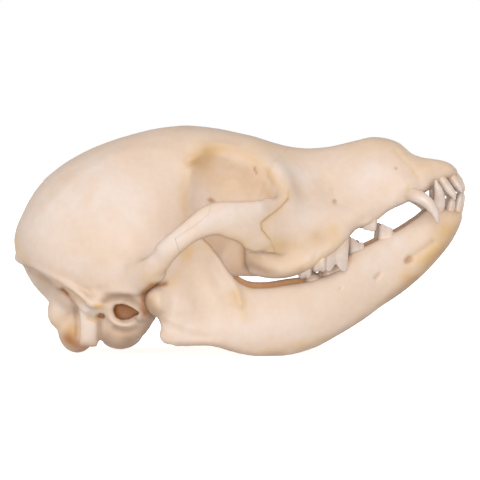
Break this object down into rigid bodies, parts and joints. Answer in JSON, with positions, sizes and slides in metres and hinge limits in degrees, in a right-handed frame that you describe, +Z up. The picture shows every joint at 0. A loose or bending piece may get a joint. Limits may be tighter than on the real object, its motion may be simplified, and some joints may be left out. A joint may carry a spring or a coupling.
{
  "type": "dog skull",
  "caption": "Life-size dog skull with closed lower jaw and teeth, lying on its jaw and occipital condyles.",
  "frame": {"origin": "on the floor, under the middle of the skull's bounding box", "axes": "+X forwards along the muzzle, +Y to the animal's left, +Z up"},
  "size_m": [0.1646, 0.09, 0.0826],
  "materials": {
    "skull_bone": "smooth dry bone, satin",
    "cheek_bone": "smooth dry bone, satin, slightly yellower",
    "jaw_bone": "smooth dry bone, satin",
    "teeth": "polished enamel"
  },
  "bodies": {
    "root": {"braincase": "skull_bone", "rostrum": "skull_bone", "zygomatic_right": "cheek_bone", "zygomatic_left": "cheek_bone", "mandible_right": "jaw_bone", "mandible_left": "jaw_bone"}
  },
  "joints": []
}
